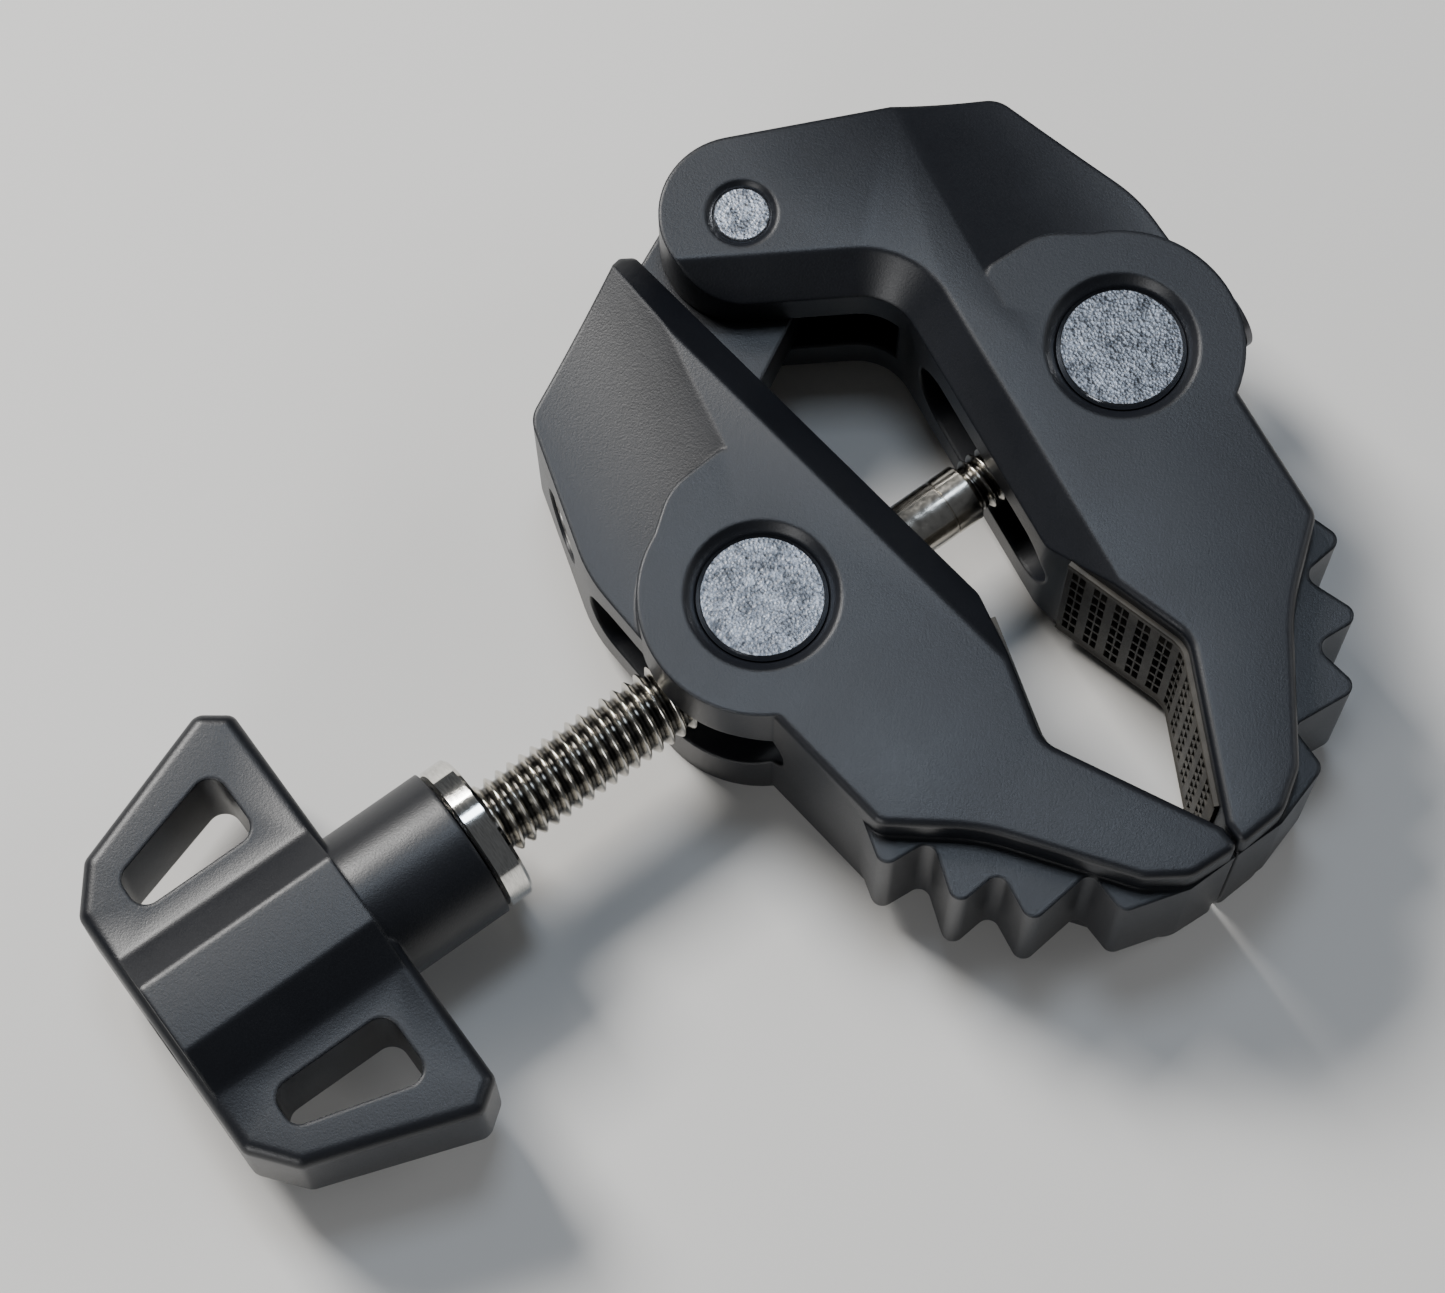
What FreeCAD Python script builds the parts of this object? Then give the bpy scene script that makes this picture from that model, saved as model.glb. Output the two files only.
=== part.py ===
import FreeCAD, Part
import math
import os

import Sketcher

# Super clamp: two hinged cast jaws with rubber lined V mouths, drawn together by a
# double-threaded screw that runs in two barrel nuts and is turned by a tee handle.
#
# Frame: X runs along the screw from the handle to the far jaw, Y points to the hinge and
# Z is up. The origin is the middle of the mouth between the two closed jaws, on the face
# that the clamp lies on. Sizes are millimetres.
#
# Both jaws share one outline, drawn as distance u from the plane X = 0: the near jaw lies
# at X = -u and the far jaw at X = +u. Every piece is drawn with the screw along the X axis
# and the jaws' mid-plane at Z = 0, and its Placement moves it into the frame.

DIMENSIONS = [
    ("screw_y", 27.6, "screw axis to the middle of the mouth"),
    ("thickness", 25.0, "height of both jaws"),
    ("edge_round", 0.8, "rounding of the outer edges of the castings"),
    ("bevel", 3.7, "45 degree bevel along the inner edge of each arm"),
    ("jaw_gap", 0.2, "half the gap between the closed tips"),
    ("nut_offset", 21.9, "barrel nut axis to the plane X = 0, jaws closed"),
    ("hinge_y", 33.4, "hinge axis"),
    ("boss_radius", 12.2, "outer radius of the casting around a barrel nut"),
    ("nut_bore_radius", 6.5, "bore for a barrel nut"),
    ("nut_bore_chamfer", 1.15, "chamfer at the mouths of that bore"),
    ("nut_radius", 6.44, "barrel nut"),
    ("nut_length", 24.0, "barrel nut"),
    ("nut_rim", 0.45, "chamfer around the end of a barrel nut"),
    ("scoop_radius", 42.0, "radius of the hollow in each shoulder"),
    ("scoop_depth", 3.4, "deepest point of that hollow"),
    ("ear_radius", 8.3, "round end of the far jaw's ears"),
    ("tongue_radius", 8.0, "round end of the near jaw's tongue"),
    ("tongue_thickness", 7.4, "near jaw's tongue"),
    ("fork_gap", 8.4, "space between the far jaw's ears"),
    ("washer_thickness", 0.4, "hinge washer"),
    ("washer_radius", 6.5, "hinge washer"),
    ("pin_radius", 3.0, "hinge pin"),
    ("pin_length", 24.4, "hinge pin"),
    ("pin_rim", 0.3, "chamfer around the ends of the hinge pin"),
    ("pin_bore_radius", 3.05, "running bore of the tongue"),
    ("pin_chamfer", 0.6, "chamfer at the mouths of the pin bore"),
    ("slot_height", 9.6, "screw slot through each jaw"),
    ("slot_top", 13.0, "hinge side end of the screw slot"),
    ("slot_bottom", -12.0, "mouth side end of the screw slot"),
    ("tooth_plate", 17.0, "height of the toothed part of a jaw"),
    ("pad_height", 20.0, "rubber pad"),
    ("pad_thickness", 2.2, "rubber pad"),
    ("pad_recess", 1.6, "depth of the recess that holds a pad"),
    ("near_thread_radius", 3.95, "M8 end of the screw, over the thread"),
    ("far_thread_radius", 2.95, "M6 end of the screw, over the thread"),
    ("neck_radius", 3.1, "plain neck between the two threads"),
    ("thread_play", 0.08, "radial clearance between the screw and a barrel nut"),
    ("ring_front", -55.1, "face of the thrust ring that looks at the jaws"),
    ("ring_thickness", 3.0, "thrust ring"),
    ("ring_radius", 7.9, "thrust ring"),
    ("ring_bore_radius", 4.0, "running bore of the thrust ring"),
    ("collar_front", -58.3, "face of the handle's collar beside the thrust ring"),
    ("collar_radius", 8.1, "round collar of the handle"),
    ("hub_front", -69.4, "face of the wings that looks at the jaws"),
    ("hub_back", -92.9, "outer end of the handle"),
    ("wing_thickness", 13.0, "wings of the handle"),
    ("wing_span", 49.0, "tip to tip"),
    ("hub_height", 19.6, "ridge along the middle of the handle"),
    ("ridge_width", 7.6, "flat top of that ridge"),
    ("ridge_foot", 16.8, "width of the ridge where it meets the wings"),
    ("wing_round", 1.4, "rounding along the edges of the wings"),
    ("screw_head", -88.5, "end of the screw inside the handle"),
    ("near_thread_end", -12.0, "where the M8 end gives way to the neck"),
    ("far_thread_start", 3.5, "where the M6 end begins"),
    ("screw_tip", 37.2, "far end of the screw"),
    ("clip_position", 35.9, "inner face of the end clip"),
    ("clip_thickness", 0.7, "end clip"),
    ("clip_radius", 4.2, "end clip"),
    ("groove_radius", 2.3, "bottom of the groove that holds the end clip"),
    ("end_screw_radius", 1.65, "shank of the screw that holds the handle"),
    ("end_screw_head", 3.6, "countersunk head of that screw"),
    ("end_screw_length", 14.0, "that screw"),
    ("large_thread_bore", 3.99, "radius of a 3/8-16 threaded bore"),
    ("small_thread_bore", 2.6, "radius of a 1/4-20 threaded bore"),
    ("insert_depth", 8.0, "length of a threaded insert"),
    ("insert_wall", 1.4, "wall of a threaded insert"),
]

doc = FreeCAD.newDocument("super_clamp")
sheet = doc.addObject("Spreadsheet::Sheet", "dims")
size = {}
for row, (alias, value, note) in enumerate(DIMENSIONS, start=1):
    sheet.set("A%d" % row, alias)
    sheet.set("B%d" % row, str(value))
    sheet.set("C%d" % row, note)
    sheet.setAlias("B%d" % row, alias)
    size[alias] = value
doc.recompute()

MID = size["thickness"] / 2
DRAWN_TO_FRAME = FreeCAD.Placement(FreeCAD.Vector(0, size["screw_y"], MID), FreeCAD.Rotation())
NEAR, FAR = -1, 1
parts = []


# ---------------------------------------------------------------- drawing helpers

def new_body(label):
    """A PartDesign body, placed in the frame and exported under its label."""
    body = doc.addObject("PartDesign::Body", label)
    body.Label = label
    body.Placement = DRAWN_TO_FRAME
    parts.append(body)
    return body


def origin_plane(body, role):
    return next(item for item in body.Origin.OriginFeatures if item.Role == role)


def new_sketch(body, name, plane="XY_Plane", at=(0, 0, 0), turn=(0, 0, 1, 0)):
    """A sketch on one of the body's origin planes, moved by at and turned about an axis."""
    sketch = body.newObject("Sketcher::SketchObject", name)
    sketch.AttachmentSupport = [(origin_plane(body, plane), "")]
    sketch.MapMode = "FlatFace"
    axis = FreeCAD.Vector(*turn[:3])
    sketch.AttachmentOffset = FreeCAD.Placement(
        FreeCAD.Vector(*at), FreeCAD.Rotation(axis, turn[3]))
    return sketch


def draw_outline(sketch, corners):
    """Closed outline through (x, y, radius) corners, each rounded by its radius."""
    count = len(corners)
    starts, ends, arcs = [], [], []
    for i in range(count):
        before = FreeCAD.Vector(*corners[i - 1][:2])
        here = FreeCAD.Vector(*corners[i][:2])
        after = FreeCAD.Vector(*corners[(i + 1) % count][:2])
        back = (before - here).normalize()
        ahead = (after - here).normalize()
        half = back.getAngle(ahead) / 2
        radius = corners[i][2]
        reach = radius / math.tan(half) if radius else 0.0
        starts.append(here + back * reach)
        ends.append(here + ahead * reach)
        middle = None
        if radius:
            inward = (back + ahead).normalize()
            middle = here + inward * (radius / math.sin(half) - radius)
        arcs.append(middle)
    for i in range(count):
        if arcs[i] is not None:
            sketch.addGeometry(Part.Arc(starts[i], arcs[i], ends[i]), False)
        following = starts[(i + 1) % count]
        if (following - ends[i]).Length > 1e-6:
            sketch.addGeometry(Part.LineSegment(ends[i], following), False)


def draw_circle(sketch, x, y, alias):
    """A circle at x, y whose radius follows a cell of the sheet."""
    centre = FreeCAD.Vector(x, y, 0)
    index = sketch.addGeometry(Part.Circle(centre, FreeCAD.Vector(0, 0, 1), size[alias]), False)
    constraint = sketch.addConstraint(Sketcher.Constraint("Radius", index, size[alias]))
    sketch.setExpression("Constraints[%d]" % constraint, "dims." + alias)
    for kind, value in (("DistanceX", x), ("DistanceY", y)):
        if abs(value) > 1e-9:
            sketch.addConstraint(Sketcher.Constraint(kind, -1, 1, index, 3, value))
    if abs(x) < 1e-9 and abs(y) < 1e-9:
        sketch.addConstraint(Sketcher.Constraint("Coincident", index, 3, -1, 1))


def extrude(body, kind, name, sketch, length):
    """A Pad or Pocket of a sketch to both sides of its plane; length is an expression."""
    feature = body.newObject("PartDesign::" + kind, name)
    feature.Profile = sketch
    feature.SideType = "Symmetric"
    feature.setExpression("Length", length)
    doc.recompute()
    return feature


def pad(body, name, sketch, length):
    return extrude(body, "Pad", name, sketch, length)


def pocket(body, name, sketch, length):
    before = body.Shape.Volume
    feature = extrude(body, "Pocket", name, sketch, length)
    if body.Shape.Volume > before - 1e-3:
        raise RuntimeError(name + " cuts nothing")
    return feature


def mirror_height(body, name, feature):
    """Repeat a feature on the other side of the mid-plane."""
    mirrored = body.newObject("PartDesign::Mirrored", name)
    mirrored.Originals = [feature]
    mirrored.MirrorPlane = (origin_plane(body, "XY_Plane"), [""])
    body.Tip = mirrored
    doc.recompute()
    return mirrored


def dress(body, kind, name, edges, alias):
    """A Fillet or Chamfer of the body's tip on the edges that pass the test."""
    base = body.Tip
    names = ["Edge%d" % (i + 1) for i, edge in enumerate(base.Shape.Edges) if edges(edge)]
    if not names:
        raise RuntimeError(name + " finds no edge")
    feature = body.newObject("PartDesign::" + kind, name)
    feature.Base = (base, names)
    feature.setExpression("Radius" if kind == "Fillet" else "Size", "dims." + alias)
    doc.recompute()
    return feature


def primitive(body, kind, name, placement, sizes):
    """A PartDesign primitive at a placement, each of its sizes given as an expression."""
    feature = body.newObject("PartDesign::" + kind, name)
    for property_name, expression in sizes.items():
        feature.setExpression(property_name, expression)
    feature.Placement = placement
    doc.recompute()
    return feature


def is_circle(edge, radius, x=None, y=None, z=None):
    """True for a round edge of this radius, at this centre where one is given."""
    if not isinstance(edge.Curve, Part.Circle) or abs(edge.Curve.Radius - radius) > 1e-4:
        return False
    centre = edge.Curve.Center
    wanted = zip((centre.x, centre.y, abs(centre.z)), (x, y, z))
    return all(value is None or abs(has - value) < 1e-3 for has, value in wanted)


# ---------------------------------------------------------------- the jaws

# Corners of the mouth, shared by the castings and the pads, as (u, y, rounding).
TIP = (size["jaw_gap"], -44.4, 0.6)
VALLEY = (8.8, -27.6, 3.5)
THROAT = (4.1, -11.4, 2.5)
SHOULDER = (28.9, 29.2, 3.0)
FLANK = (33.9, 12.5, 16.0)
ARM_CORNER = (8.1, 18.6, 6.0)
# The inner wall of an arm leans outwards by this much for each millimetre towards the hinge.
WALL_LEAN = 0.133
HINGE = (0.0, size["hinge_y"])
# Where the hollow in the shoulder meets the flat around the barrel nut.
WEB_CORNER = (15.7, 14.5)
# The toothed plate, from the flank down to the tip and back inside the casting.
TOOTH_PLATE = [
    (26.3, -21.5, 0.0), (28.2, -27.9, 1.2), (22.5, -28.4, 1.2), (24.9, -35.2, 1.2),
    (19.1, -34.7, 1.2), (20.0, -40.7, 1.2), (12.3, -39.9, 1.0), (12.2, -44.9, 1.2),
    (5.5, -46.9, 1.0), (size["jaw_gap"], -46.9, 0.0), (size["jaw_gap"], -45.2, 0.0),
    (9.8, -30.5, 0.0), (12.0, -24.0, 0.0), (22.0, -18.0, 0.0),
]


def inner_wall(y):
    """Distance u of an arm's inner wall."""
    return THROAT[0] + WALL_LEAN * (y - THROAT[1])


def tangent_point(corner, radius, turn):
    """Where a line from a corner touches a circle about the hinge, on the side turn = +1 or -1."""
    across, along = corner[0] - HINGE[0], corner[1] - HINGE[1]
    reach = math.hypot(across, along)
    angle = math.atan2(along, across) + turn * math.acos(radius / reach)
    return (HINGE[0] + radius * math.cos(angle), HINGE[1] + radius * math.sin(angle), 0.0)


def jaw_corners(side):
    """Corners of a jaw, from the tip up the inner side and back down the outer side."""
    corners = [(size["jaw_gap"], -46.9, 0.8), TIP, VALLEY, THROAT]
    if side == NEAR:
        corners += [(inner_wall(37.0), 37.0, 0.6), (12.2, 37.3, 0.8)]
    else:
        corners += [
            ARM_CORNER,
            tangent_point(ARM_CORNER, size["ear_radius"], -1),
            tangent_point(SHOULDER, size["ear_radius"], 1),
        ]
    corners += [
        SHOULDER,
        FLANK,
        (33.3, 2.0, 0.0),
        (29.0, -4.0, 0.0),
        (26.5, -25.0, 2.0),
        (18.9, -31.0, 22.0),
        (9.4, -44.0, 3.0),
        (5.5, -46.6, 3.0),
    ]
    return [(side * u, y, radius) for u, y, radius in corners]


def along_mouth(depth, first_y, last_y):
    """Corners of a line that follows the mouth at a depth below its surface."""
    found = []
    for start, end, y in ((THROAT, VALLEY, first_y), (VALLEY, TIP, last_y)):
        run = FreeCAD.Vector(end[0] - start[0], end[1] - start[1], 0).normalize()
        inward = FreeCAD.Vector(-run.y, run.x, 0)
        base = FreeCAD.Vector(start[0], start[1], 0) + inward * depth
        at_y = FreeCAD.Vector(start[0], start[1], 0)
        at_y = at_y + run * ((y - start[1]) / run.y) + inward * depth
        found.append((base, run, at_y))
    (base_a, run_a, first), (base_b, run_b, last) = found
    gap = base_b - base_a
    step = (gap.x * run_b.y - gap.y * run_b.x) / (run_a.x * run_b.y - run_a.y * run_b.x)
    corner = base_a + run_a * step
    return [(first.x, first.y), (corner.x, corner.y), (last.x, last.y)]


def mouth_band(side, proud, deep):
    """Closed corners of the band between two depths along the mouth."""
    first_y, last_y = -14.3, -42.2
    front = along_mouth(-proud, first_y, last_y)
    back = along_mouth(deep, first_y, last_y)
    rounds = (0.3, VALLEY[2] - 0.5, 0.3)
    corners = [point + (r,) for point, r in zip(front, rounds)]
    corners += [point + (r,) for point, r in zip(back[::-1], rounds)]
    return [(side * u, y, r) for u, y, r in corners]


def add_scoops(body, side):
    """Hollow in the shoulder, above and below: a lying cylinder along the arm's inner edge."""
    radius, depth = size["scoop_radius"], size["scoop_depth"]
    lean = math.radians(-11.0 if side == NEAR else 9.0)
    half_chord = math.sqrt(radius ** 2 - (radius - depth) ** 2)
    u = WEB_CORNER[0] + half_chord * math.cos(lean)
    y = WEB_CORNER[1] - half_chord * math.sin(lean)
    axis = FreeCAD.Vector(side * math.sin(lean), math.cos(lean), 0)
    start = FreeCAD.Vector(side * u, y, MID + radius - depth) - axis * 14.5
    place = FreeCAD.Placement(start, FreeCAD.Rotation(FreeCAD.Vector(0, 0, 1), axis))
    cutter = primitive(body, "SubtractiveCylinder", body.Label + "_scoop", place,
                       {"Radius": "dims.scoop_radius", "Height": "2.4 * dims.thickness"})
    mirror_height(body, body.Label + "_scoop_below", cutter)


def add_boss(body, side):
    """Full height round the barrel nut, with a web that joins it to the arm's flat strip."""
    sketch = new_sketch(body, body.Label + "_boss_sketch")
    draw_circle(sketch, side * size["nut_offset"], 0, "boss_radius")
    pad(body, body.Label + "_boss", sketch, "dims.thickness")
    web = [WEB_CORNER + (1.2,), (22.8, 14.2, 7.0), (30.2, 8.6, 0.0),
           (size["nut_offset"], 0.0, 0.0), (14.0, 2.0, 0.0)]
    sketch = new_sketch(body, body.Label + "_web_sketch")
    draw_outline(sketch, [(side * u, y, r) for u, y, r in web])
    pad(body, body.Label + "_web", sketch, "dims.thickness")


def add_teeth(body, side):
    """Toothed plate along the outside of the mouth: a wave of rounded teeth."""
    sketch = new_sketch(body, body.Label + "_tooth_sketch")
    draw_outline(sketch, [(side * u, y, r) for u, y, r in TOOTH_PLATE])
    pad(body, body.Label + "_tooth_plate", sketch, "dims.tooth_plate")


def cut_wedge(body, name, foot, run, away, length):
    """Cut the 45 degree bevel along a line at its foot; run follows the edge."""
    up = FreeCAD.Vector(0, 0, 1)
    slope = (away + up).normalize()
    normal = (up - away).normalize()
    corner = foot - slope * 3
    if run.cross(slope).dot(normal) < 0:
        corner = corner + run * length
        run = run * -1
    turn = FreeCAD.Rotation(run, slope, normal, "XYZ")
    wedge = primitive(body, "SubtractiveBox", name, FreeCAD.Placement(corner, turn),
                      {"Length": str(length), "Width": "5 * dims.bevel", "Height": "2 * dims.bevel"})
    mirror_height(body, name + "_below", wedge)


def add_bevel(body, side):
    """Bevel along the inner edge of the arm; on the far jaw it turns the corner to the ears."""
    bevel = size["bevel"]
    run = FreeCAD.Vector(side * WALL_LEAN, 1, 0).normalize()
    away = FreeCAD.Vector(side, -WALL_LEAN, 0).normalize()
    low_y = -20.5
    foot = FreeCAD.Vector(side * inner_wall(low_y), low_y, MID - bevel)
    if side == NEAR:
        cut_wedge(body, "near_bevel", foot, run, away, 75.0)
        return
    corner = FreeCAD.Vector(ARM_CORNER[0], ARM_CORNER[1], MID - bevel)
    touch = tangent_point(ARM_CORNER, size["ear_radius"], -1)
    ear_run = (FreeCAD.Vector(touch[0], touch[1], corner.z) - corner).normalize()
    down = (FreeCAD.Vector(inner_wall(0), 0, corner.z) - corner).normalize()
    half = down.getAngle(ear_run) / 2
    reach = ARM_CORNER[2] / math.tan(half)
    centre = corner + (down + ear_run).normalize() * (ARM_CORNER[2] / math.sin(half))
    cut_wedge(body, "far_bevel", foot, run, away, (corner - foot).Length - reach)
    cone = primitive(body, "SubtractiveCone", "far_bevel_corner",
                     FreeCAD.Placement(centre, FreeCAD.Rotation()),
                     {"Radius1": str(ARM_CORNER[2]), "Radius2": "%s + 2 * dims.bevel" % ARM_CORNER[2],
                      "Height": "2 * dims.bevel"})
    mirror_height(body, "far_bevel_corner_below", cone)
    ear_away = FreeCAD.Vector(-ear_run.y, ear_run.x, 0)
    if ear_away.y < 0:
        ear_away = ear_away * -1
    cut_wedge(body, "ear_bevel", corner + ear_run * reach, ear_run, ear_away, 22.0)


def add_tongue(body):
    """Tongue of the near jaw: a bar that ends in a round about the hinge."""
    sketch = new_sketch(body, "tongue_bar_sketch")
    upper, lower = (-12.0, 36.6, 0.0), (-9.6, 19.2, 0.0)
    radius = size["tongue_radius"]
    corners = [upper, lower, tangent_point(lower, radius, 1), tangent_point(upper, radius, -1)]
    draw_outline(sketch, corners)
    pad(body, "tongue_bar", sketch, "dims.tongue_thickness")
    sketch = new_sketch(body, "tongue_round_sketch")
    draw_circle(sketch, HINGE[0], HINGE[1], "tongue_radius")
    pad(body, "tongue_round", sketch, "dims.tongue_thickness")


def add_fork(body):
    """Space between the ears, which takes the tongue, with a rib left beside the screw slot."""
    sketch = new_sketch(body, "fork_sketch")
    corners = [(-14, 17, 0), (9.3, 17, 1.5), (11.5, 24, 3), (11.5, 45, 0), (-14, 45, 0)]
    draw_outline(sketch, corners)
    pocket(body, "fork", sketch, "dims.fork_gap")


def round_pocket(body, name, x, y, alias, length="dims.thickness + 2"):
    sketch = new_sketch(body, name + "_sketch")
    draw_circle(sketch, x, y, alias)
    pocket(body, name, sketch, length)


def add_screw_slot(body, side):
    """Slot along X in which the screw swings as the jaws open."""
    sketch = new_sketch(body, body.Label + "_slot_sketch", "YZ_Plane")
    half = size["slot_height"] / 2
    low, high = size["slot_bottom"], size["slot_top"]
    rounding = half - 0.2
    draw_outline(sketch, [(low, -half, rounding), (high, -half, rounding),
                          (high, half, rounding), (low, half, rounding)])
    pocket(body, body.Label + "_screw_slot", sketch, "4 * dims.thickness")


def add_pad_recess(body, side):
    sketch = new_sketch(body, body.Label + "_recess_sketch")
    draw_outline(sketch, mouth_band(side, 3.0, size["pad_recess"]))
    pocket(body, body.Label + "_pad_recess", sketch, "dims.pad_height")


# Places of the accessory threads on the outer walls: centre (u, y) and outward normal.
SIDE_WALL = ((31.35, 20.9), (0.958, 0.287))
TOP_WALL = ((21.2, 32.75), (0.419, 0.908))


def wall_placement(side, wall, depth):
    """Placement whose Z axis points out of a jaw's outer wall, depth below its face."""
    (u, y), (normal_u, normal_y) = wall
    outward = FreeCAD.Vector(side * normal_u, normal_y, 0).normalize()
    base = FreeCAD.Vector(side * u, y, 0) - outward * depth
    return FreeCAD.Placement(base, FreeCAD.Rotation(FreeCAD.Vector(0, 0, 1), outward))


def add_accessory_hole(body, side, wall, name, bore):
    """Round seat for a threaded insert, open to the outside."""
    place = wall_placement(side, wall, size["insert_depth"])
    primitive(body, "SubtractiveCylinder", name, place,
              {"Radius": "dims.%s + dims.insert_wall" % bore, "Height": "2 * dims.insert_depth"})


def on_face_rim(edge):
    """True for the long edges around the mouth half of a jaw's two flat faces."""
    box = edge.BoundBox
    if box.ZLength > 1e-4 or abs(abs(box.ZMin) - MID) > 1e-3 or box.Center.y > 10:
        return False
    return isinstance(edge.Curve, Part.Line) or edge.Curve.Radius > 20


def soften_jaw(body, side):
    """Cast rounding around the mouth half, and turned chamfers at the two bores."""
    label = body.Label
    nut_x, nut_bore = side * size["nut_offset"], size["nut_bore_radius"]
    dress(body, "Chamfer", label + "_nut_bore_rim",
          lambda edge: is_circle(edge, nut_bore, nut_x, 0, MID), "nut_bore_chamfer")
    if side == FAR:
        dress(body, "Chamfer", label + "_pin_bore_rim",
              lambda edge: is_circle(edge, size["pin_radius"], *HINGE, MID), "pin_chamfer")
    dress(body, "Fillet", label + "_rounding", on_face_rim, "edge_round")


def make_jaw(label, side):
    """One aluminium casting."""
    body = new_body(label)
    sketch = new_sketch(body, label + "_outline")
    draw_outline(sketch, jaw_corners(side))
    pad(body, label + "_casting", sketch, "dims.thickness")
    if side == FAR:
        sketch = new_sketch(body, "ear_sketch")
        draw_circle(sketch, HINGE[0], HINGE[1], "ear_radius")
        pad(body, "ear", sketch, "dims.thickness")
    add_scoops(body, side)
    add_boss(body, side)
    add_teeth(body, side)
    add_bevel(body, side)
    if side == NEAR:
        add_tongue(body)
        round_pocket(body, "tongue_bore", HINGE[0], HINGE[1], "pin_bore_radius")
    else:
        add_fork(body)
        round_pocket(body, "ear_bore", HINGE[0], HINGE[1], "pin_radius")
    round_pocket(body, label + "_nut_bore", side * size["nut_offset"], 0, "nut_bore_radius")
    add_screw_slot(body, side)
    add_pad_recess(body, side)
    add_accessory_hole(body, side, SIDE_WALL, label + "_side_seat", "small_thread_bore")
    if side == FAR:
        add_accessory_hole(body, side, TOP_WALL, label + "_top_seat", "large_thread_bore")
    soften_jaw(body, side)
    return body


# ---------------------------------------------------------------- pieces on the jaws

def make_jaw_pad(label, side):
    """Rubber lining that fills the recess of one V mouth and stands a little proud."""
    body = new_body(label)
    sketch = new_sketch(body, label + "_outline")
    deep = size["pad_recess"]
    draw_outline(sketch, mouth_band(side, size["pad_thickness"] - deep, deep))
    pad(body, label + "_block", sketch, "dims.pad_height")
    return body


def make_insert(label, side, wall, bore):
    """Threaded steel insert, flush with a jaw's outer wall."""
    body = new_body(label)
    place = wall_placement(side, wall, size["insert_depth"])
    outside = {"Radius": "dims.%s + dims.insert_wall" % bore, "Height": "dims.insert_depth - 0.3"}
    primitive(body, "AdditiveCylinder", label + "_sleeve", place, outside)
    primitive(body, "SubtractiveCylinder", label + "_thread", place,
              {"Radius": "dims." + bore, "Height": "dims.insert_depth"})
    return body


def make_hinge_pin():
    """Plain pin, pressed into the ears; the tongue turns on it."""
    body = new_body("hinge_pin")
    sketch = new_sketch(body, "pin_sketch")
    draw_circle(sketch, HINGE[0], HINGE[1], "pin_radius")
    pad(body, "pin", sketch, "dims.pin_length")
    dress(body, "Chamfer", "pin_ends", lambda edge: is_circle(edge, size["pin_radius"]), "pin_rim")
    return body


def make_hinge_washer(label, level):
    """Thin washer in the gap between the tongue and an ear; level = +1 above, -1 below."""
    body = new_body(label)
    middle = (size["tongue_thickness"] + size["fork_gap"]) / 4
    sketch = new_sketch(body, label + "_sketch", at=(0, 0, level * middle))
    draw_circle(sketch, HINGE[0], HINGE[1], "washer_radius")
    draw_circle(sketch, HINGE[0], HINGE[1], "pin_bore_radius")
    pad(body, label + "_disc", sketch, "dims.washer_thickness")
    return body


def make_barrel_nut(label, side, thread):
    """Round cross nut that turns in a jaw's bore; the screw passes through its side."""
    body = new_body(label)
    sketch = new_sketch(body, label + "_sketch")
    draw_circle(sketch, side * size["nut_offset"], 0, "nut_radius")
    pad(body, label + "_barrel", sketch, "dims.nut_length")
    dress(body, "Chamfer", label + "_ends", lambda edge: is_circle(edge, size["nut_radius"]), "nut_rim")
    across = FreeCAD.Rotation(FreeCAD.Vector(0, 0, 1), FreeCAD.Vector(1, 0, 0))
    start = FreeCAD.Vector(side * size["nut_offset"] - 2 * size["nut_radius"], 0, 0)
    primitive(body, "SubtractiveCylinder", label + "_thread", FreeCAD.Placement(start, across),
              {"Radius": "dims.%s + dims.thread_play" % thread, "Height": "4 * dims.nut_radius"})
    return body


# ---------------------------------------------------------------- the screw and its handle

def turned(body, name, profile, kind="Revolution"):
    """Revolve a closed profile of (x, radius) corners about the screw's axis."""
    sketch = new_sketch(body, name + "_profile")
    draw_outline(sketch, [(x, radius, 0.0) for x, radius in profile])
    feature = body.newObject("PartDesign::" + kind, name)
    feature.Profile = sketch
    feature.ReferenceAxis = (sketch, ["H_Axis"])
    feature.Angle = 360
    doc.recompute()
    return feature


def make_clamp_screw():
    """Double-threaded screw: M8 through the near nut, a plain neck, and M6 in the far nut."""
    body = new_body("clamp_screw")
    near, far, neck = size["near_thread_radius"], size["far_thread_radius"], size["neck_radius"]
    head, tip = size["screw_head"], size["screw_tip"]
    groove, groove_radius = size["clip_position"] - 0.05, size["groove_radius"]
    groove_end = groove + size["clip_thickness"] + 0.1
    tapped, tapped_end = size["end_screw_radius"], head + 12.0
    profile = [
        (head, tapped), (head, near - 0.5), (head + 0.5, near),
        (size["near_thread_end"] - 0.85, near), (size["near_thread_end"], neck),
        (size["far_thread_start"], neck), (size["far_thread_start"], far),
        (groove, far), (groove, groove_radius), (groove_end, groove_radius),
        (groove_end, far), (tip - 0.4, far), (tip, far - 0.5), (tip, 0.0),
        (tapped_end, 0.0), (tapped_end, tapped),
    ]
    turned(body, "screw_turning", profile)
    return body


def make_end_clip():
    """Open spring clip that stops the far nut at the end of its thread."""
    body = new_body("screw_end_clip")
    start, end = size["clip_position"], size["clip_position"] + size["clip_thickness"]
    inner, outer = size["groove_radius"] + 0.02, size["clip_radius"]
    turned(body, "clip_ring", [(start, inner), (start, outer), (end, outer), (end, inner)])
    mouth = FreeCAD.Placement(FreeCAD.Vector(start - 1, -size["groove_radius"] * 0.8, -2 * outer),
                              FreeCAD.Rotation())
    primitive(body, "SubtractiveBox", "clip_mouth", mouth,
              {"Length": "dims.clip_thickness + 2", "Width": "1.6 * dims.groove_radius",
               "Height": "2 * dims.clip_radius"})
    return body


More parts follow.
